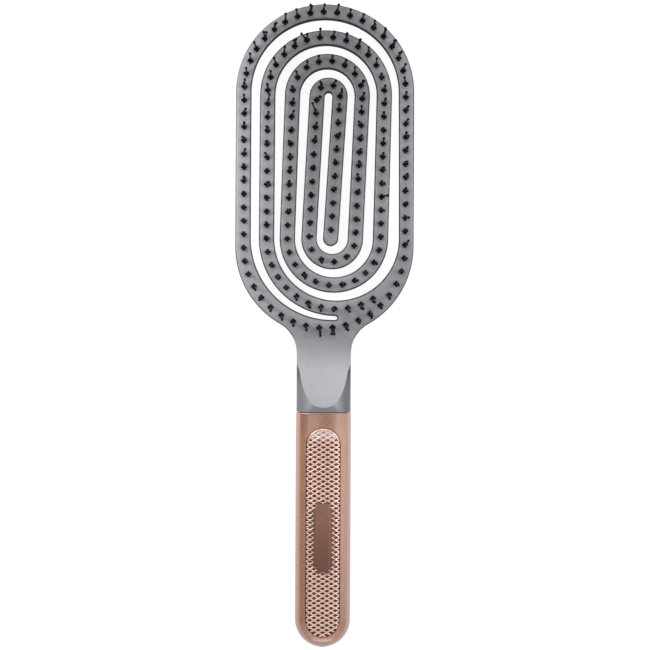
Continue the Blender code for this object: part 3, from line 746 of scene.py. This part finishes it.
def stubSeed():  # a short blunt filament end, one unit high
    bm = bmesh.new()
    bmesh.ops.create_cone(bm, cap_ends=True, segments=8, radius1=1.0, radius2=tuftLook["stubTop"], depth=1.0,
                          matrix=Matrix.Translation((0, 0, 0.5)))
    top = [f for f in bm.faces if f.normal.z > 0.9]
    bmesh.ops.inset_region(bm, faces=top, thickness=tuftLook["stubInset"], depth=0.0)
    bmesh.ops.translate(bm, verts=list({v for f in top for v in f.verts}), vec=(0, 0, tuftLook["stubDome"]))
    return meshFrom(bm, "stub")


def pinSeed():  # a long pin with its ball tip, real size, standing at the origin
    bm = bmesh.new()
    length, radius = tuftLook["length"], tuftLook["stemRadius"]
    bmesh.ops.create_cone(bm, cap_ends=True, segments=7, radius1=radius * tuftLook["stemFoot"],
                          radius2=radius * tuftLook["stemTop"], depth=length,
                          matrix=Matrix.Translation((0, 0, length / 2)))
    bmesh.ops.create_uvsphere(bm, u_segments=8, v_segments=6, radius=tuftLook["ballRadius"],
                              matrix=Matrix.Translation((0, 0, length)))
    return meshFrom(bm, "pin")


stubMesh = stubSeed()
pinMesh = pinSeed()


def addSeed(bm, seed, matrix):
    before = len(bm.verts)
    bm.from_mesh(seed)
    bm.verts.ensure_lookup_table()
    bmesh.ops.transform(bm, matrix=matrix, verts=bm.verts[before:])


def pinLean(place, chance):  # sideways lean of one long pin, with a few strays
    lean = Vector((chance.gauss(tuftLook["drift"], tuftLook["splay"]), chance.gauss(0, tuftLook["splay"]), 0))
    if chance.random() < tuftLook["strayShare"]:
        lean *= tuftLook["strayTimes"]
    if place[1] < tuftLook["lowRowY"]:   # the lowest row leans to the handle, most at its middle
        atMiddle = abs(place[0] - tuftLook["middleX"]) < tuftLook["middleHalf"] and place[1] < 0
        lean.y -= tuftLook["middleLean"] if atMiddle else tuftLook["lowRowLean"]
    return lean


def turnTo(axis):
    return axis.to_track_quat("Z", "Y").to_matrix().to_4x4()


def addTuft(bm, place, chance):  # four stub ends on a ring, and one or two long pins among them
    sink = tuftLook["sink"]
    foot = lifted(place, -sink)
    up = (lifted(place, 0.01) - lifted(place, 0)).normalized()
    pins = [1] if chance.random() > tuftLook["secondShare"] else [0, 1]
    for corner in range(4):
        turn = corner * math.pi / 2 + chance.uniform(-tuftLook["turnChance"], tuftLook["turnChance"])
        spoke = Vector((math.cos(turn), math.sin(turn), 0)) * tuftLook["ringRadius"]
        if corner in pins:
            axis = turnTo((up + pinLean(place, chance)).normalized())
            shrink = Matrix.Scale(chance.uniform(tuftLook["pinShort"], 1.0), 4)
            addSeed(bm, pinMesh, Matrix.Translation(foot + spoke * tuftLook["pinSpoke"]) @ axis @ shrink)
        height = chance.uniform(*tuftLook["stubHeight"]) + sink
        radius = tuftLook["stubRadius"] * chance.uniform(*tuftLook["stubChance"])
        size = Matrix.Diagonal((radius, radius, height, 1))
        addSeed(bm, stubMesh, Matrix.Translation(foot + spoke) @ turnTo(up) @ size)


def makeTufts():
    chance = random.Random(tuftLook["seed"])
    rows = []
    for i, places in enumerate(tuftRow(rimPath(), tuftLook["rimGroups"])):
        rows.append((f"rim_pins_{i + 1}", "brush frame", places))
    root = rootPath()
    first = halfPath(0)
    pitch = pathLength(first) / sum(tuftLook["coilGroups"][0])
    rootPlaces = [placeAlong(root, (i + 0.5) * pitch) for i in range(tuftLook["rootTufts"])]
    for half, groups in enumerate(tuftLook["coilGroups"]):
        share = tuftLook["lastShare"] if half == 5 else 0.0
        for i, places in enumerate(tuftRow(halfPath(half), groups, share)):
            rows.append((f"coil_{half + 1}_pins_{i + 1}", f"coil {half + 1}", places))
    rows[0][2].extend(rootPlaces)
    for node, body, places in rows:
        bm = bmesh.new()
        for place in places:
            addTuft(bm, place, chance)
        piece = addPiece(node.replace("_pins_", "Tufts_"), bm, pinNylon, body, smoothAngle=60)
        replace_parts(piece, node)


makeTufts()
print("tufts made")


# ---- handle sleeve, its recesses and the inlaid panels

handleLook = {
    "power": 2.5, "wall": 0.0022, "buttEdge": 0.005, "buttTip": 0.00005, "buttSteps": 16, "longSteps": 5,
    "mouthRound": 0.0003, "mouthDeep": 0.8, "mouthShares": (0.3, 0.7, 1.0),
    "hollowSteps": 6, "recessSteps": 10, "snapGroove": 0.0003,
    "hollowRings": (0.0175, 0.016, 0.0145, 0.0, -0.002),   # how far below the seam, the groove at the second
}

panelLook = {
    "width": 0.0131, "start": 0.0056, "end": 0.0041, "thick": 0.001, "gap": 0.0003,
    "cellX": 0.00324, "cellY": 0.00184, "pit": 0.00042,
    "ribSteps": ((0.00013, 0.00003), (0.0001, 0.00009), (0.00012, 0.0003)),   # inset and drop of each step
    "plaqueWidth": 0.007, "plaqueLength": 0.0262, "plaqueFromSeam": 0.034, "plaqueCorner": 0.0017,
    "plaqueRise": 0.00003, "plaqueRound": 0.00008, "plaqueColumns": 8, "plaqueDeep": 0.00085,
    "tooth": 0.00042, "toothShare": 0.6,   # how deep, and how wide in cells
    # a painted highlight on the net's upper end, and painted shade on its skirt
    "paintedHighlightEnd": 0.0042, "paleBlur": 0.001, "palePits": 0.4, "paleShallow": 0.45,
    "paintedSkirtShade": 0.8, "skirtDeep": 0.0009,
    "lipRadius": 0.0003, "lipTaper": 0.35, "lipSides": 8, "keepHalf": 0.0085, "spareWide": 0.014,
}


def buttSpan(at, radius, edge):  # half width, and how far the faces draw in, so far from the butt's tip
    half = math.sqrt(max(1e-9, radius ** 2 - (radius - at) ** 2))
    return half, edge - math.sqrt(edge ** 2 - max(0.0, edge - at) ** 2)


def handleForm(inset, steps):
    radius = brush["width"] / 2 - inset
    edge = handleLook["buttEdge"] - inset
    turns = [math.pi / 2 * i / steps for i in range(1, steps + 1)]
    sections = []
    tip = handleLook["buttTip"]
    for at in [tip] + [radius * (1 - math.cos(t)) for t in turns]:
        half, low = buttSpan(at, radius, edge)
        low += inset
        y = inset - brush["length"] / 2 + (at if at > tip else 0.0)
        sections.append(superSection(half, low, brush["thick"] - low, handleLook["power"], y))
    return sections


def handleTop(x, y):  # how far the handle's face lies over its middle height
    radius = brush["width"] / 2
    at = y + brush["length"] / 2
    half, low = buttSpan(at, radius, handleLook["buttEdge"]) if at < radius else (radius, 0.0)
    share = min(0.999, abs(x) / half)   # kept off the edge, where the face stands upright
    return (brush["thick"] / 2 - low) * (1 - share ** handleLook["power"]) ** (1 / handleLook["power"])


def stadiumEnds():  # radius, and the Y of both centres
    radius = panelLook["width"] / 2
    top = brush["seamY"] - panelLook["start"] - radius
    return radius, top, panelLook["end"] + radius - brush["length"] / 2


def stadiumLine(shrink, step=6):
    radius, top, low = stadiumEnds()
    upper = arcPoints((0, top), radius - shrink, 180, 0, step)
    return upper + arcPoints((0, low), radius - shrink, 0, -180, step)


def prism(line, low, high):
    bm = bmesh.new()
    verts = [bm.verts.new((x, y, low)) for x, y in line]
    base = bmesh.ops.contextual_create(bm, geom=verts)["faces"]
    made = bmesh.ops.extrude_face_region(bm, geom=base)["geom"]
    raised = [g for g in made if isinstance(g, BMVert)]
    bmesh.ops.translate(bm, verts=raised, vec=(0, 0, high - low))
    bmesh.ops.recalc_face_normals(bm, faces=bm.faces)
    return bm


def makeSleeve():
    mouthRound, power = handleLook["mouthRound"], handleLook["power"]
    sections = handleForm(0.0, handleLook["buttSteps"])
    start = sections[-1][0].y
    steps = handleLook["longSteps"]
    for i in range(1, steps + 1):  # even lengths up to the mouth keep the long faces from stretching
        sections.append(insetSection(0.0, start + (brush["seamY"] - mouthRound - start) * i / steps, power))
    for share in handleLook["mouthShares"]:
        inset = mouthRound * (1 - math.sqrt(1 - share ** 2)) * handleLook["mouthDeep"]
        sections.append(insetSection(inset, brush["seamY"] - mouthRound * (1 - share), power))
    hollow = handleForm(handleLook["wall"], handleLook["hollowSteps"])
    for i, below in enumerate(handleLook["hollowRings"]):
        grow = handleLook["snapGroove"] if i == 1 else 0.0
        hollow.append(insetSection(handleLook["wall"] - grow, brush["seamY"] - below, power))
    bm = combineBmesh(loftRings(sections), loftRings(hollow), "DIFFERENCE")
    depth = panelLook["thick"] + panelLook["gap"]
    middle = brush["thick"] / 2
    for low, high in ((middle, brush["thick"] + 0.002), (-0.002, middle)):   # a recess in each face
        core = handleForm(depth, handleLook["recessSteps"]) + [insetSection(depth, brush["seamY"], power)]
        cutter = combineBmesh(prism(stadiumLine(0.0, step=4), low, high), loftRings(core), "DIFFERENCE")
        bm = combineBmesh(bm, cutter, "DIFFERENCE")
    sleeve = addPiece("handleSleeve", bm, roseSatin, "brush frame", smoothAngle=28)
    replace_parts(sleeve, "handle_sleeve")


def plaqueSpan():  # half width, half length and the middle's Y
    end = panelLook["plaqueLength"] / 2
    return panelLook["plaqueWidth"] / 2, end, brush["seamY"] - panelLook["plaqueFromSeam"] - end


def plaqueLine():  # long plate with cut corners, its edge toothed where the net meets it
    half, end, middle = plaqueSpan()
    corner = panelLook["plaqueCorner"]
    corners = [(half, corner - end), (half, end - corner), (half - corner, end), (corner - half, end),
               (-half, end - corner), (-half, corner - end), (corner - half, -end), (half - corner, -end)]
    line = []
    for (ax, ay), (bx, by) in zip(corners, corners[1:] + corners[:1]):
        step = Vector((bx - ax, by - ay))
        inward = Vector((-step.y, step.x)).normalized() * panelLook["tooth"]
        wide = panelLook["cellY"] if abs(step.x) < 1e-6 else panelLook["cellX"] * panelLook["toothShare"]
        teeth = max(1, round(step.length / wide))
        for i in range(teeth):
            line.append(Vector((ax, ay)) + step * (i / teeth))
            line.append(Vector((ax, ay)) + step * ((i + 0.5) / teeth) + inward)
    return [(point.x, middle + point.y) for point in line]


def insidePlaque(x, y):
    half, end, middle = plaqueSpan()
    down = abs(y - middle)
    return abs(x) < half and down < end and abs(x) + down < half + end - panelLook["plaqueCorner"]


def conform(bm, front):  # lays a flat panel, face at zero, on the handle's face
    for vert in bm.verts:
        vert.co.z = brush["thick"] / 2 + front * (handleTop(vert.co.x, vert.co.y) + vert.co.z)


def clipToStadium(bm, shrink):
    line = stadiumLine(shrink, step=7.5)
    for (ax, ay), (bx, by) in zip(line, line[1:] + line[:1]):
        edge = Vector((bx - ax, by - ay, 0))
        if edge.length > 1e-7:
            slicePlane(bm, (ax, ay, 0), (-edge.y, edge.x, 0), 1e-7, clear_outer=True)


def addLip(bm, shrink):  # raised round edge about the net's upper end
    radius, top, _ = stadiumEnds()
    arc = [Vector((x, y, 0)) for x, y in arcPoints((0, top), radius - shrink, 172, 8, 6)]
    sides = panelLook["lipSides"]
    turns = [math.pi * 2 * j / sides for j in range(sides)]
    rings = []
    for i, point in enumerate(arc):
        outward = (point - Vector((0, top, 0))).normalized()
        size = panelLook["lipRadius"] * (panelLook["lipTaper"] if i in (0, len(arc) - 1) else 1.0)
        rings.append([bm.verts.new(point + outward * math.cos(t) * size + Vector((0, 0, math.sin(t) * size)))
                      for t in turns])
    for here, after in zip(rings, rings[1:]):
        for j in range(sides):
            bm.faces.new((here[j], after[j], after[(j + 1) % sides], here[(j + 1) % sides]))
    bm.faces.new(rings[0][::-1])
    bm.faces.new(rings[-1])


def netPanel(name, node, front):
    cellX, cellY = panelLook["cellX"], panelLook["cellY"]
    shrink = panelLook["gap"]
    rows = [y for _, y in stadiumLine(shrink)]
    lowY, highY = min(rows), max(rows)
    middle = (highY + lowY) / 2
    cells = math.ceil((highY - lowY) / cellY + panelLook["spareWide"] / cellX) + 3
    cells += cells % 2
    bm = bmesh.new()
    bmesh.ops.create_grid(bm, x_segments=cells, y_segments=cells, size=cells / 2)
    bmesh.ops.rotate(bm, verts=bm.verts, matrix=Matrix.Rotation(math.pi / 4, 3, "Z"))
    bmesh.ops.scale(bm, verts=bm.verts, vec=(cellX / math.sqrt(2), cellY / math.sqrt(2), 1))
    bmesh.ops.translate(bm, verts=bm.verts, vec=(0, middle, 0))
    spare = []
    for face in bm.faces:
        x, y = face.calc_center_median().xy
        if abs(x) > panelLook["keepHalf"] or not lowY - cellY < y < highY + cellY or insidePlaque(x, y):
            spare.append(face)
    bmesh.ops.delete(bm, geom=spare, context="FACES")
    floors = bm.faces[:]
    for thickness, depth in panelLook["ribSteps"]:
        bmesh.ops.inset_individual(bm, faces=floors, thickness=thickness, depth=-depth, use_even_offset=True)
    # painted shade in each pit, by its depth
    layer = bm.verts.layers.float.new("paintedPitShade")
    paintedHighlight = bm.verts.layers.float.new("paintedHighlightEnd")
    paleY, blur = highY - panelLook["paintedHighlightEnd"], panelLook["paleBlur"]
    for vert in bm.verts:   # the upper end gets a painted highlight with less painted shade in its pits, and it is shallower
        near = smoothStep(paleY - blur, paleY + blur, vert.co.y)
        vert[layer] = min(1.0, -vert.co.z / panelLook["pit"]) * (1 - panelLook["palePits"] * near)
        vert[paintedHighlight] = near
        vert.co.z *= 1 - panelLook["paleShallow"] * near
    clipToStadium(bm, shrink)
    # the skirt down into the recess takes painted shade
    made = bmesh.ops.extrude_edge_only(bm, edges=[e for e in bm.edges if e.is_boundary])["geom"]
    for vert in [g for g in made if isinstance(g, BMVert)]:
        vert.co.z = -panelLook["skirtDeep"]
        vert[layer] = panelLook["paintedSkirtShade"]
    bmesh.ops.holes_fill(bm, edges=[e for e in bm.edges if e.is_boundary], sides=0)
    addLip(bm, shrink + panelLook["lipRadius"])
    conform(bm, front)
    panel = addPiece(name, bm, netRose, "brush frame", smoothAngle=50)
    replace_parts(panel, node)


def plaque(name, front):
    bm = prism(plaqueLine(), -panelLook["plaqueDeep"], panelLook["plaqueRise"])
    rims = [e for e in bm.edges if all(v.co.z > 0 for v in e.verts)]
    bmesh.ops.bevel(bm, geom=rims, offset=panelLook["plaqueRound"], segments=2, profile=0.5,
                    affect="EDGES", material=-1)
    columns = panelLook["plaqueColumns"]
    for i in range(1, columns):
        slicePlane(bm, ((-1 + 2 * i / columns) * panelLook["plaqueWidth"] / 2, 0, 0), (1, 0, 0), 1e-7)
    conform(bm, front)
    plate = addPiece(name, bm, plaqueBronze, "brush frame", smoothAngle=40)


makeSleeve()
netPanel("frontNet", "grip_panel_front", 1)
netPanel("backNet", "grip_panel_back", -1)
plaque("frontPlaque", 1)
plaque("backPlaque", -1)
print("handle made")


# ---- stage: floor, lamps, camera

stageLook = {
    "floorSize": 3.0, "cameraHeight": 0.907, "lens": 131.0, "centre": (0.0004, -0.0003), "roll": 0.0051,
    "worldStrength": 0.32, "aim": (0.0, 0.02, 0.0),
    "floorTone": 0.25, "floorRough": 0.9, "floorGlow": 0.9, "floorZ": -0.0004,
    "lamps": [   # name, place, width and height, power
        ("leftNear", (-0.16, 0.075, 0.12), (0.06, 0.18), 0.31),
        ("rightNear", (0.16, 0.05, 0.12), (0.06, 0.2), 0.17),
        ("rightMid", (0.6, -0.05, 0.42), (0.3, 0.8), 1.0),
        ("leftHigh", (-0.42, 0.0, 1.14), (0.15, 0.8), 0.75),
        ("overRight", (0.46, 0.0, 1.15), (0.15, 0.6), 0.33),
        ("backMid", (0.0, 0.65, 0.5), (0.6, 0.3), 3.0),
        ("frontLow", (0.0, -0.6, 0.3), (0.6, 0.3), 0.8),
    ],
}


def floorMaterial():  # white where it is lit, and the object's shadow stays on it
    material, tree, shader = blankMaterial("paleFloor")
    tone = stageLook["floorTone"]
    feed(tree, shader, {"Base Color": (tone, tone, tone, 1), "Roughness": stageLook["floorRough"]})
    plain = shader.outputs["BSDF"]
    glow = addNode(tree, "ShaderNodeEmission", {"Color": (1, 1, 1, 1), "Strength": stageLook["floorGlow"]})
    lit = addNode(tree, "ShaderNodeAddShader", {0: plain, 1: glow.outputs["Emission"]}).outputs["Shader"]
    path = addNode(tree, "ShaderNodeLightPath").outputs
    rays = path["Is Camera Ray"]
    for label in ("Is Glossy Ray", "Is Transmission Ray"):   # all other rays find the plain floor
        inputs = {0: rays, 1: path[label]}
        rays = addNode(tree, "ShaderNodeMath", inputs, operation="ADD", use_clamp=True).outputs["Value"]
    mix = addNode(tree, "ShaderNodeMixShader", {"Fac": rays, 1: plain, 2: lit})
    feed(tree, tree.nodes["Material Output"], {"Surface": mix.outputs["Shader"]})
    return material


def makeStage():
    bm = bmesh.new()
    bmesh.ops.create_grid(bm, x_segments=1, y_segments=1, size=stageLook["floorSize"] / 2)
    floor = newObject("floor", meshFrom(bm, "floor"))
    floor.location.z = stageLook["floorZ"]
    floor.data.materials.append(floorMaterial())

    scene = bpy.context.scene
    scene.world = bpy.data.worlds.new("studio")
    scene.world.use_nodes = True
    sky = scene.world.node_tree
    feed(sky, sky.nodes["Background"], {"Color": (1, 1, 1, 1), "Strength": stageLook["worldStrength"]})

    for name, place, size, power in stageLook["lamps"]:
        data = bpy.data.lights.new(name, "AREA")
        data.shape = "RECTANGLE"
        data.size, data.size_y = size
        data.energy = power
        lamp = newObject(name, data)
        lamp.location = place
        lamp.rotation_euler = (Vector(stageLook["aim"]) - Vector(place)).to_track_quat("-Z", "Y").to_euler()

    cameraData = bpy.data.cameras.new("camera")
    cameraData.lens = stageLook["lens"]
    cameraData.sensor_width = 36.0
    camera = newObject("camera", cameraData)
    camera.location = (*stageLook["centre"], stageLook["cameraHeight"])
    camera.rotation_euler = (0, 0, stageLook["roll"])
    scene.camera = camera
    scene.view_settings.view_transform = "Standard"


makeStage()
print("stage made")
